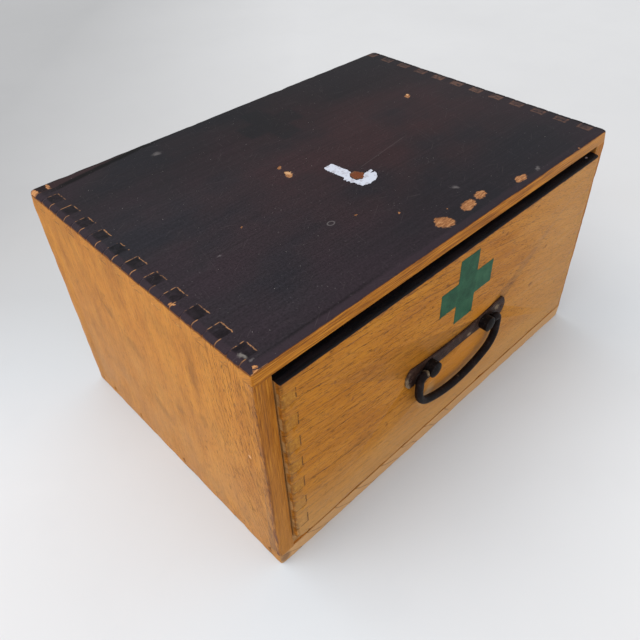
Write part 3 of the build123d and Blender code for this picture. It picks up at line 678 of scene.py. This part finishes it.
def face_marks(finish, wood):
    """What lies over the drawer's front and the ends of its sides' fingers: joints, spots and varnish."""
    x, z = finish.x, finish.z
    on_face = finish.facing[1].below(-0.6, 0.15) * finish.y.below(DRAWER_FACE + 2, 0.3)
    flat = finish.join(x, z, 0.0)
    soft_edge = finish.ragged_place(0.8, 12.0, at=flat)
    paler = x.spread(20, 150, 0.0, 0.32, steep=True).either(z.spread(20, 90, 0.46, 0.0, steep=True))
    wood = finish.mix(paler * on_face, wood, shade(204, 158, 104))
    cooler = (x + (175 - z) * 1.2).spread(-115, 170, steep=True)
    cooler = cooler.either(z.spread(40, 90, 1.0, 0.0, steep=True))
    tint = finish.mix(cooler, (0.97, 0.95, 0.47, 1.0), (0.97, 1.0, 0.96, 1.0))
    wood = finish.tinted(wood, finish.mix(on_face, (1.0, 1.0, 1.0, 1.0), tint))
    amber = finish.blots(AMBER_PATCHES, soft=0.6, at=soft_edge)
    wood = finish.mix(amber * on_face * 0.7, wood, shade(196, 125, 38))
    rubbed = finish.blots(RUBBED_PATCHES, soft=0.7, at=soft_edge)
    wood = finish.mix(rubbed * on_face * 0.5, wood, shade(214, 180, 132))
    spots = finish.blots(FACE_SPOTS, soft=0.4, at=finish.ragged_place(0.3, 2.0, at=flat))
    wood = finish.mix(spots * on_face * 0.5, wood, shade(92, 46, 22))
    tired = finish.cloud((50, 10, 16), 3, 0.55, seed=52.0).above(0.55, 0.12) * z.spread(20, 110, 1.0, 0.2)
    wood = finish.mix(tired * on_face * 0.2, wood, shade(190, 142, 92))

    # The sides' fingers show as worn ends with thin dark outlines, plainest at the left.
    q = ((DRAWER_TOP - FIRST_PIN - z) / (2 * FINGER)).fract()
    pin = q.below(0.5, 0.004) * z.below(DRAWER_TOP - FIRST_PIN, 0.1)
    wobble = finish.cloud(4, 3, 0.6, seed=55.0) * 1.6 - 0.8
    inner = (abs(x) + wobble * 0.5).near(DRAWER_X - DRAWER_SIDE, 0.45, 0.3) * pin
    under = (q + wobble * 0.01).near(0.5, 0.02, 0.016) * abs(x).above(DRAWER_X - DRAWER_SIDE - 0.3, 0.2)
    broken = finish.cloud((3, 3, 5), 3, 0.6, seed=57.0).above(0.42, 0.08)
    strength = x.below(0, 1) * 0.62 + 0.18
    outline = inner.either(under * z.spread(20, 175, 1.0, 0.35)) * broken * strength
    wood = finish.mix(outline * on_face, wood, shade(58, 30, 14))
    worn_end = x.below(-DRAWER_X + 8, 5.0) * finish.cloud((6, 6, 20), 3, 0.6, seed=58.0).spread(0.35, 0.6)
    wood = finish.mix(worn_end * on_face * 0.3, wood, shade(150, 112, 62))
    # A dark speckled band along the drawer's left arris, reaching a little onto its side.
    dark_left_arris = x.below(-DRAWER_X + 1.6, 1.4) * finish.cloud((2.4, 4, 5), 4, 0.7, seed=62.0).above(0.47, 0.08)
    dark_left_arris = dark_left_arris * finish.y.below(DRAWER_FACE + 3, 2.5)
    wood = finish.mix(dark_left_arris * 0.55, wood, shade(70, 38, 14))
    # Painted shade along the bottom of the face, where it meets the case.
    wood = finish.darken(wood, z.below(DRAWER_BASE + 1.6, 1.0) * on_face * 0.35)

    # The top edge is painted black, down to the front's rounded arris.
    painted = finish.facing[2] + (finish.cloud((9, 5, 5), 3, 0.6, seed=60.0) * 0.5 - 0.25)
    black = painted.above(0.35, 0.06) * z.above(DRAWER_TOP - 3, 0.3)
    tinge = painted.above(0.12, 0.1) * z.above(DRAWER_TOP - 3, 0.3)
    wood = finish.mix(tinge * 0.7, wood, shade(78, 44, 40))
    return wood, black


def black_edge(finish, wood, black):
    """Adds the drawer's black top edge. Returns the colour and roughness."""
    soft_noise = finish.cloud((30, 3, 3), 3, seed=59.0)
    ink = finish.mix(soft_noise.above(0.55, 0.1) * 0.6, shade(12, 12, 16), shade(30, 22, 26))
    ink = finish.mix(finish.blot(155, -124, 2.6, 1.6, 0, soft=0.3), ink, shade(170, 150, 150))
    return finish.mix(black, wood, ink), soft_noise.spread(0.3, 0.7, 0.4, 0.56)


def drawer_front_finish():
    """The drawer's face: falling grain, amber varnish round the pull, black top edge."""
    finish = Finish("varnished drawer front")
    wood, relief = face_grain(finish)
    wood, black = face_marks(finish, wood)
    wood = finish.mix(finish.y.above(DRAWER_FACE + 4, 0.5) * 0.8, wood, BARE_WOOD[1])
    colour, rough = black_edge(finish, wood, black * finish.y.below(DRAWER_FACE + 20, 0.2))
    return finish.paint(colour, rough, relief, BOARD_RELIEF)


def bare_board_finish(name, along):
    """Planed wood with no varnish. along is the axis of its grain: 0, 1 or 2."""
    finish = Finish(name)
    axes = [finish.x, finish.y, finish.z]
    across = axes[(along + 1) % 3] + axes[(along + 2) % 3] * 0.8
    wood, relief = grain(finish, axes[along], across, BARE_WOOD, 6.5, 0.5, 0.4)
    grime = finish.cloud((40, 40, 30), 4, 0.6, seed=61.0).above(0.55, 0.15)
    wood = finish.darken(wood, grime * 0.2)
    return finish, wood, relief


def plain_board_finish(name, along):
    finish, wood, relief = bare_board_finish(name, along)
    return finish.paint(wood, 0.62, relief, BOARD_RELIEF)


def drawer_side_finish():
    """The drawer's sides: bare wood, but varnished like the face where their fingers show in it."""
    finish, wood, relief = bare_board_finish("drawer sides", 1)
    on_face = finish.y.below(DRAWER_FACE + 2, 0.3)
    ends = finish.cloud((1.8, 20, 1.8), 4, 0.65, seed=63.0)
    end_grain = finish.tones(
        ends, (0.34, shade(156, 98, 38)), (0.5, shade(178, 118, 48)), (0.68, shade(196, 138, 66))
    )
    wood = finish.mix(on_face, wood, end_grain)
    wood = face_marks(finish, wood)[0]
    return finish.paint(wood, 0.55, relief, BOARD_RELIEF)


# ------------------------------------------------------------------ iron
def iron_finish(name, dark, brown, worn, worn_patches=(), pits=0.3, highlight_specks=0.0):
    """Old black iron with rust bloom, pits and rubbed spots, and pale specks that are painted highlights. The
    patches lie in the plane of X and Z.
    """
    finish = Finish(name)
    rust = finish.cloud(6, 5, 0.68)
    fine = finish.cloud(1.3, 4, 0.65, seed=4.0)
    colour = finish.tones(rust * 0.6 + fine * 0.4, (0.38, dark), (0.54, brown), (0.7, worn))
    if worn_patches:
        flat = finish.ragged_place(0.4, 2.4, at=finish.join(finish.x, finish.z, 0.0))
        rubbed = finish.blots(worn_patches, soft=0.5, at=flat)
        colour = finish.mix(rubbed * fine.above(0.42, 0.1) * 0.7, colour, shade(150, 130, 104))
    # Small pale specks here are painted highlights.
    if highlight_specks:
        colour = finish.mix(finish.specks(1.7, 0.16, seed=6.0) * highlight_specks, colour, shade(170, 160, 152))
    rough = fine.spread(0.3, 0.7, 0.4, 0.64)
    finish.surface.inputs["Metallic"].default_value = IRON_METALNESS
    return finish.paint(colour, rough, fine * 0.7 + rust * 0.6, pits, IRON_GLOSS)


# ------------------------------------------------------------------ worn boards
WEAR_REACH = 4.6
FLAT_STRIP = 1.0
WEAR_STEP = 3.5
DENT_DEPTH = 2.2
LOW_DENT_DEPTH = 0.6
CORNER_WEAR = 1.3
CORNER_REACH = 12
LEFT_NOTCH = 0.08
RIGHT_NOTCH = 0.3
NOTCH_REACH = 0.11
SHARP_ANGLE = 30
FAR_AWAY = 1000.0
NOTCH_SHARES = (0.12, 0.5, 0.88)


def linked(name, mesh):
    """A new object with this mesh, in the scene."""
    piece = bpy.data.objects.new(name, mesh)
    bpy.context.scene.collection.objects.link(piece)
    return piece


def depths_in(place, low, high):
    """How deep a point lies inside a box along each axis, and which way is inwards."""
    depths = [min(place[i] - low[i], high[i] - place[i]) for i in range(3)]
    inwards = [1 if place[i] - low[i] < high[i] - place[i] else -1 for i in range(3)]
    return depths, inwards


def worn_away(place, low, high, pairs):
    """How far wear has moved a point near a box's arrises, in millimetres along each axis.

    It depends on the place alone, so boards that meet there stay flush.
    """
    depths, inwards = depths_in(place, low, high)
    push = Vector()
    for i, j in pairs:
        nearness = 1 - max(depths[i], depths[j]) / WEAR_REACH
        if nearness <= 0:
            continue
        rubbed = 0.12 + 0.3 * noise.noise(place / 11) + 0.16 * noise.noise(place / 4)
        deepest = DENT_DEPTH if place[2] > BOARD else LOW_DENT_DEPTH
        dent = deepest * max(0.0, noise.noise(place / 16 + Vector((7, 3, 5))) - 0.38)
        notch = 0.0
        if (i, j) == (0, 2):
            phase = (place[1] - CASE_FRONT) / FINGER
            notch = LEFT_NOTCH if place[0] < 0 else RIGHT_NOTCH
            notch = notch * max(0.0, 1 - abs(phase - round(phase)) / NOTCH_REACH)
        corner = 0.0
        if (i, j) == (0, 1) and high[2] == CASE_TOP and max(place[0], place[1]) > 0:
            corner = CORNER_WEAR * max(0.0, 1 - (high[2] - place[2]) / CORNER_REACH)
        amount = (max(0.0, rubbed) + dent + notch + corner) * nearness * nearness * (3 - 2 * nearness)
        push[i] += inwards[i] * amount
        push[j] += inwards[j] * amount
    return push


def cut_across(shape, faces, axis, place):
    """Cuts some of a mesh's faces along a plane across an axis. Returns the faces that come from them."""
    parts = set(faces)
    for face in faces:
        parts.update(face.edges)
        parts.update(face.verts)
    across = Vector()
    across[axis] = 1
    result = bmesh.ops.bisect_plane(
        shape, geom=list(parts), dist=1e-7, plane_co=across * place * MM, plane_no=across
    )
    return [part for part in result["geom"] if isinstance(part, bmesh.types.BMFace)]


def worn_board(name, body, low, high, pairs, cuts):
    """A copy of a board's CAD mesh whose outer arrises are rubbed and dented, shown in its place."""
    shape = bmesh.new()
    shape.from_mesh(nodes[name].data)
    bmesh.ops.remove_doubles(shape, verts=shape.verts[:], dist=1e-6)
    # The second cut leaves a narrow flat strip between the worn arrises and the broad faces.
    for axis in sorted({axis for pair in pairs for axis in pair}):
        for reach in (WEAR_REACH, WEAR_REACH + FLAT_STRIP):
            for place in (low[axis] + reach, high[axis] - reach):
                cut_across(shape, shape.faces[:], axis, place)
    for i, j in pairs:
        run = 3 - i - j
        strip = []
        for face in shape.faces:
            depths = depths_in(face.calc_center_median() / MM, low, high)[0]
            if depths[i] < WEAR_REACH and depths[j] < WEAR_REACH:
                strip.append(face)
        for place in cuts[run]:
            ahead = [face for face in strip if max(v.co[run] for v in face.verts) > place * MM + 1e-7]
            strip = cut_across(shape, ahead, run, place)
    for vertex in shape.verts:
        vertex.co += worn_away(vertex.co / MM, low, high, pairs) * MM
    mesh = bpy.data.meshes.new(f"worn_{name}")
    shape.to_mesh(mesh)
    shape.free()
    mesh.shade_smooth()
    mesh.set_sharp_from_angle(angle=math.radians(SHARP_ANGLE))
    mesh.materials.clear()
    mesh.materials.append(finishes[name])
    board = linked(f"worn_{name}", mesh)
    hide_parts(name)
    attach(board, body)


def even_places(low, high):
    """Places a few millimetres apart from low to high."""
    count = round((high - low) / WEAR_STEP)
    return [low + (high - low) * (n + 0.5) / count for n in range(count)]


def worn_boards():
    """The boards whose outer arrises show, worn."""
    finger_cuts = [CASE_FRONT + FINGER * (n + share) for n in range(FINGERS) for share in NOTCH_SHARES]
    case_cuts = (even_places(case_low[0], case_high[0]), finger_cuts, even_places(0, CASE_TOP))
    every_arris = ((0, 1), (0, 2), (1, 2))
    for name in CASE_BOARDS:
        worn_board(name, "case", case_low, case_high, every_arris, case_cuts)
    # The drawer's boards wear at the front alone, so their box is taken to reach far back.
    far_back = [drawer_high[0], FAR_AWAY, drawer_high[2]]
    drawer_cuts = (even_places(drawer_low[0], drawer_high[0]), [], even_places(drawer_low[2], drawer_high[2]))
    for name in DRAWER_BOARDS:
        worn_board(name, "drawer", drawer_low, far_back, ((0, 1), (1, 2)), drawer_cuts)


# ------------------------------------------------------------------ pieces that lie on the box
PAINT_THICKNESS = 0.12
PLASTER_THICKNESS = 0.28


def film_piece(name, outline, plane, thickness):
    """A thin sheet with a ragged outline. plane turns outline points and a height into a place on the box."""
    mesh = bpy.data.meshes.new(name)
    shape = bmesh.new()
    lower = [shape.verts.new(plane(u, v, 0.0)) for u, v in outline]
    face = shape.faces.new(lower)
    raised = bmesh.ops.extrude_face_region(shape, geom=[face])
    moved = [v for v in raised["geom"] if isinstance(v, bmesh.types.BMVert)]
    shift = Vector(plane(0, 0, thickness)) - Vector(plane(0, 0, 0.0))
    bmesh.ops.translate(shape, verts=moved, vec=shift)
    bmesh.ops.triangulate(shape, faces=shape.faces[:])
    bmesh.ops.recalc_face_normals(shape, faces=shape.faces[:])
    shape.to_mesh(mesh)
    shape.free()
    return linked(name, mesh)


def on_top(u, v, height):
    return (u * MM, v * MM, (CASE_TOP + height) * MM)


def on_face(u, v, height):
    return (u * MM, (DRAWER_FACE - height) * MM, v * MM)


def wavering(points, step, sway, seed):
    """A closed outline of straight runs divided into short ones that sway a little to each side."""
    draw = random.Random(seed)
    outline = []
    for start, end in zip(points, points[1:] + points[:1]):
        run = math.dist(start, end)
        count = max(1, round(run / step))
        for i in range(count):
            share = i / count
            push = draw.uniform(-sway, sway)
            across = ((start[1] - end[1]) / run, (end[0] - start[0]) / run)
            outline.append(
                (
                    start[0] + (end[0] - start[0]) * share + across[0] * push,
                    start[1] + (end[1] - start[1]) * share + across[1] * push,
                )
            )
    return outline


def green_cross():
    """The painted cross on the drawer: a film of paint with hand-cut edges."""
    middle_z, across, tall = 145.8, 29.0, 28.0
    left, right = -11.0, 9.9
    low, high = 134.9, 155.0
    points = [
        (left, middle_z + tall), (right, middle_z + tall), (right, high), (across, high), (across, low),
        (right, low), (right, middle_z - tall), (left, middle_z - tall), (left, low), (-across, low),
        (-across, high), (left, high),
    ]
    piece = film_piece("green_cross", wavering(points, 2.0, 0.16, 5), on_face, PAINT_THICKNESS)
    finish = Finish("green sign paint")
    tone = finish.cloud((7, 9, 10), 4, 0.6)
    colour = finish.tones(tone, (0.34, shade(24, 70, 48)), (0.5, shade(34, 82, 57)), (0.68, shade(46, 94, 66)))
    fall = finish.x * 0.12 + finish.z
    pores = finish.cloud((6, 4, 0.5), 3, 0.6, at=finish.join(finish.x, 0.0, fall), seed=3.0)
    colour = finish.darken(colour, pores.below(0.4, 0.06) * 0.25)
    worn = finish.cloud(1.8, 4, 0.65, seed=3.0).above(0.68, 0.04)
    colour = finish.mix(worn * 0.45, colour, shade(104, 92, 54))
    piece.data.materials.append(finish.paint(colour, 0.5, tone * 0.5 + pores * 0.6, 0.12))
    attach(piece, "drawer")


def torn_plaster():
    """The white remnant of a strip of sticking plaster on the top."""
    points = [
        (-15.7, -6.3), (-11.0, -5.6), (-7.2, -5.9), (-6.7, -12), (-5.8, -19), (-6.0, -24), (-9.2, -26.0),
        (-11.4, -28.6), (-12.2, -31.6), (-11.4, -34.6), (-8.0, -36.8), (-4.4, -36.2), (-2.4, -33.4),
        (0.6, -32.4), (6.2, -32.2), (6.4, -34.3), (2.4, -35.4), (6.2, -36.0), (5.4, -39.2), (2.6, -42.4),
        (-2.0, -44.2), (-7.6, -44.8), (-13.6, -43.4), (-15.0, -39.6), (-14.6, -36.0), (-16.8, -34.4),
        (-15.8, -32.6), (-17.6, -31.0), (-16.2, -29.6), (-17.4, -28.0), (-15.2, -27.0), (-15.3, -20),
        (-16.1, -12),
    ]
    piece = film_piece("torn_plaster", wavering(points, 1.2, 0.4, 8), on_top, PLASTER_THICKNESS)
    finish = Finish("torn white plaster")
    weave = finish.cloud(0.8, 2)
    stain = finish.cloud(3.4, 4, 0.65, seed=2.0).above(0.56, 0.06)
    colour = finish.mix(stain * 0.6, shade(200, 205, 218), shade(160, 156, 164))
    piece.data.materials.append(finish.paint(colour, 0.85, weave, 0.15, 0.1))
    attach(piece, "case")


# ------------------------------------------------------------------ dust, scattered with Geometry Nodes
GRAINS_PER_SQUARE_METRE = 9000.0
GRAIN_SIZE = 0.22


def dust_tree(material):
    """Scatters small flat grains over a sheet, where a noise says that dust has gathered."""
    tree = bpy.data.node_groups.new("scattered dust", "GeometryNodeTree")
    inputs = {}
    tree.interface.new_socket("Geometry", in_out="INPUT", socket_type="NodeSocketGeometry")
    kinds = {"Density": "NodeSocketFloat", "Grain size": "NodeSocketFloat", "Seed": "NodeSocketInt"}
    for name, kind in kinds.items():
        inputs[name] = tree.interface.new_socket(name, in_out="INPUT", socket_type=kind).identifier
    tree.interface.new_socket("Geometry", in_out="OUTPUT", socket_type="NodeSocketGeometry")

    def add(kind, **settings):
        node = tree.nodes.new(kind)
        for key, value in settings.items():
            setattr(node, key, value)
        return node

    given = add("NodeGroupInput")
    result = add("NodeGroupOutput")
    link = tree.links.new
    where = add("ShaderNodeTexNoise")
    where.inputs["Scale"].default_value = 30.0
    gathered = add("ShaderNodeMapRange")
    gathered.inputs["From Min"].default_value = 0.46
    gathered.inputs["From Max"].default_value = 0.64
    amount = add("ShaderNodeMath", operation="MULTIPLY")
    points = add("GeometryNodeDistributePointsOnFaces")
    ball = add("GeometryNodeMeshIcoSphere")
    ball.inputs["Subdivisions"].default_value = 1
    flatten = add("GeometryNodeTransform")
    flatten.inputs["Scale"].default_value = (1.0, 0.7, 0.3)
    spots = add("GeometryNodeInstanceOnPoints")
    size = add("FunctionNodeRandomValue", data_type="FLOAT")
    size.inputs[2].default_value = 0.5
    size.inputs[3].default_value = 1.3
    turn = add("FunctionNodeRandomValue", data_type="FLOAT_VECTOR")
    turn.inputs[0].default_value = (-0.2, -0.2, 0.0)
    turn.inputs[1].default_value = (0.2, 0.2, 6.28)
    real = add("GeometryNodeRealizeInstances")
    coat = add("GeometryNodeSetMaterial")
    coat.inputs["Material"].default_value = material
    link(where.outputs["Fac"], gathered.inputs["Value"])
    link(gathered.outputs["Result"], amount.inputs[0])
    link(given.outputs["Density"], amount.inputs[1])
    link(given.outputs["Geometry"], points.inputs["Mesh"])
    link(amount.outputs[0], points.inputs["Density"])
    link(given.outputs["Seed"], points.inputs["Seed"])
    link(given.outputs["Grain size"], ball.inputs["Radius"])
    link(ball.outputs["Mesh"], flatten.inputs["Geometry"])
    link(points.outputs["Points"], spots.inputs["Points"])
    link(flatten.outputs["Geometry"], spots.inputs["Instance"])
    link(size.outputs[1], spots.inputs["Scale"])
    link(turn.outputs[0], spots.inputs["Rotation"])
    link(spots.outputs["Instances"], real.inputs["Geometry"])
    link(real.outputs["Geometry"], coat.inputs["Geometry"])
    link(coat.outputs["Geometry"], result.inputs["Geometry"])
    return tree, inputs


def grown(name, base, tree, settings):
    """The plain mesh that a Geometry Nodes tree makes from a base mesh."""
    source = linked(f"{name}_source", base)
    modifier = source.modifiers.new("grown", "NODES")
    modifier.node_group = tree
    for identifier, value in settings.items():
        modifier[identifier] = value
    bpy.context.view_layer.update()
    evaluated = source.evaluated_get(bpy.context.evaluated_depsgraph_get())
    mesh = bpy.data.meshes.new_from_object(evaluated)
    mesh.name = name
    bpy.data.objects.remove(source)
    return linked(name, mesh)


def dust_on_top():
    """Grains of dust and grit that have stuck to the lacquer."""
    finish = Finish("pale dust")
    tone = finish.cloud(9, 3)
    colour = finish.tones(tone, (0.4, shade(92, 88, 90)), (0.6, shade(168, 162, 158)))
    material = finish.paint(colour, 0.9, finish.cloud(0.4, 2), 0.05, 0.05)
    tree, inputs = dust_tree(material)
    base = bpy.data.meshes.new("dust_sheet")
    edge_x, front, back = CASE_X - 14, CASE_FRONT + 7, CASE_BACK - 5
    outline = ((-edge_x, front), (edge_x, front), (edge_x, back), (-edge_x, back))
    sheet = [on_top(u, v, 0.02) for u, v in outline]
    base.from_pydata(sheet, [], [(0, 1, 2, 3)])
    settings = {
        inputs["Density"]: GRAINS_PER_SQUARE_METRE,
        inputs["Grain size"]: GRAIN_SIZE * MM,
        inputs["Seed"]: 4,
    }
    dust = grown("top_dust", base, tree, settings)
    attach(dust, "case")


# ------------------------------------------------------------------ surroundings
FLOOR_SHADE = shade(227, 228, 230)
FLOOR_REACH = 4000


def pale_floor():
    """A plain pale floor with painted shade: darker away from the camera and most at the back left, as in the
    photograph.
    """
    mesh = bpy.data.meshes.new("pale_floor")
    reach = FLOOR_REACH * MM
    outline = [(-reach, -reach, 0), (reach, -reach, 0), (reach, reach, 0), (-reach, reach, 0)]
    mesh.from_pydata(outline, [], [(0, 1, 2, 3)])
    floor = linked("pale_floor", mesh)
    finish = Finish("pale floor")
    cloudy = finish.cloud(300, 3, 0.5).spread(0.3, 0.7, 0.98, 1.02)
    away = finish.x * 0.69 + finish.y * 0.72
    aside = finish.x * 0.72 - finish.y * 0.69
    back_left_shade = away.spread(-150, 80) * aside.spread(-520, -60, 0.33, 0.0)
    worn = finish.mix(finish.cloud(60, 4).above(0.6, 0.1) * 0.04, FLOOR_SHADE, shade(200, 200, 204))
    # Painted shade: the floor darkens away from the camera and most at the back left.
    colour = finish.scaled(worn, cloudy * away.spread(-120, 250, 1.0, 0.82) * (1 - back_left_shade))
    # The wood's warm glow on the floor is weaker in the photograph, so the floor is cooler beside the box.
    beside_box = (abs(finish.x) - CASE_X).either(abs(finish.y) - CASE_BACK).spread(0, 240, 1.0, 0.0)
    colour = finish.tinted(colour, finish.mix(beside_box, (1.0, 1.0, 1.0, 1.0), (0.95, 1.0, 1.04, 1.0)))
    mesh.materials.append(finish.paint(colour, 0.6, None, 0.1))


SUNS = (
    # name, direction towards the light, strength
    ("wide window light", (-1.0, 0.3, 1.2), 0.825),
    ("wide overhead light", (-0.4, 0.9, 1.5), 0.525),
)
SUN_WIDTH = 50.0
ROOM_STRENGTH = 0.84


def soft_lights():
    """A pale room all round, and two very wide soft lights."""
    world = bpy.data.worlds.new("soft room")
    world.use_nodes = True
    backdrop = world.node_tree.nodes["Background"]
    backdrop.inputs["Color"].default_value = (1.0, 1.0, 1.0, 1.0)
    backdrop.inputs["Strength"].default_value = ROOM_STRENGTH
    bpy.context.scene.world = world
    for name, direction, strength in SUNS:
        lamp = bpy.data.lights.new(name, "SUN")
        lamp.angle = math.radians(SUN_WIDTH)
        lamp.energy = strength
        light = bpy.data.objects.new(name, lamp)
        light.rotation_euler = Vector(direction).to_track_quat("Z", "Y").to_euler()
        bpy.context.scene.collection.objects.link(light)


def photo_camera():
    """The photographer's view, found from the case's edges and finger joints."""
    position = Vector((-294.43, -308.42, 429.51)) * MM
    azimuth, elevation, roll = (math.radians(t) for t in (-43.581, 41.319, -1.636))
    focal_pixels, centre_pixel, frame_pixels, sensor = 636.309, (336.49, 300.25), 640, 36.0
    back = Vector(
        (math.sin(azimuth) * math.cos(elevation), -math.cos(azimuth) * math.cos(elevation), math.sin(elevation))
    )
    level_right = Vector((math.cos(azimuth), math.sin(azimuth), 0))
    level_up = back.cross(level_right)
    right = level_right * math.cos(roll) + level_up * math.sin(roll)
    up = -level_right * math.sin(roll) + level_up * math.cos(roll)
    lens = bpy.data.cameras.new("photo camera")
    lens.sensor_width = sensor
    lens.lens = sensor * focal_pixels / frame_pixels
    lens.shift_x = (frame_pixels / 2 - centre_pixel[0]) / frame_pixels
    lens.shift_y = (centre_pixel[1] - frame_pixels / 2) / frame_pixels
    camera = bpy.data.objects.new("photo camera", lens)
    turn = Matrix((right, up, back)).transposed().to_4x4()
    camera.matrix_world = Matrix.Translation(position) @ turn
    bpy.context.scene.collection.objects.link(camera)
    bpy.context.scene.camera = camera


# ------------------------------------------------------------------ assembly
photo_camera()
pale_floor()
soft_lights()

side_boards = side_wall_finish()
drawer_sides = drawer_side_finish()
runner_wood = plain_board_finish("bare runners", 1)
plate_worn = ((44, 100, 6, 4, -30), (-60, 92, 4, 10, 20), (-61, 97, 3, 8, 0), (10, 95, 5, 2.5, 0))
bail_worn = ((-3.2, 63.6, 2.4, 2.4, 0), (-45, 99, 3, 3, 10))
brown_iron = iron_finish(
    "brown iron", shade(30, 18, 15), shade(60, 41, 34), shade(104, 84, 70), plate_worn, 0.45
)
black_iron = iron_finish("black iron", shade(10, 6, 7), shade(24, 15, 15), shade(54, 42, 40), bail_worn)
# The posts' pale specks are painted highlights.
post_iron = iron_finish("black iron posts", shade(8, 6, 7), shade(18, 12, 13), shade(60, 54, 54), highlight_specks=0.5)
nail_steel = iron_finish("nail steel", shade(70, 62, 58), shade(96, 84, 76), shade(130, 122, 114))
finishes = {
    "case_top": long_board_finish("lacquered top board"),
    "case_bottom": long_board_finish("varnished bottom board", low_board=True),
    "case_left_side": side_boards,
    "case_right_side": side_boards,
    "case_back": plain_board_finish("bare back board", 0),
    "left_runner": runner_wood,
    "right_runner": runner_wood,
    "drawer_front": drawer_front_finish(),
    "drawer_left_side": drawer_sides,
    "drawer_right_side": drawer_sides,
    "drawer_back": plain_board_finish("bare drawer back", 0),
    "drawer_bottom": plain_board_finish("bare drawer bottom", 0),
    "handle_plate": brown_iron,
    "handle_plate_nails": brown_iron,
    "handle_left_washer": brown_iron,
    "handle_right_washer": brown_iron,
    "handle_left_post": post_iron,
    "handle_right_post": post_iron,
    "bail": black_iron,
    "case_back_nails": nail_steel,
    "drawer_bottom_nails": nail_steel,
    "runner_nails": nail_steel,
}
for name, node in nodes.items():
    node.data.materials.clear()
    node.data.materials.append(finishes[name])

worn_boards()
green_cross()
torn_plaster()
dust_on_top()

bpy.context.scene.view_settings.view_transform = "Standard"
bpy.context.view_layer.update()
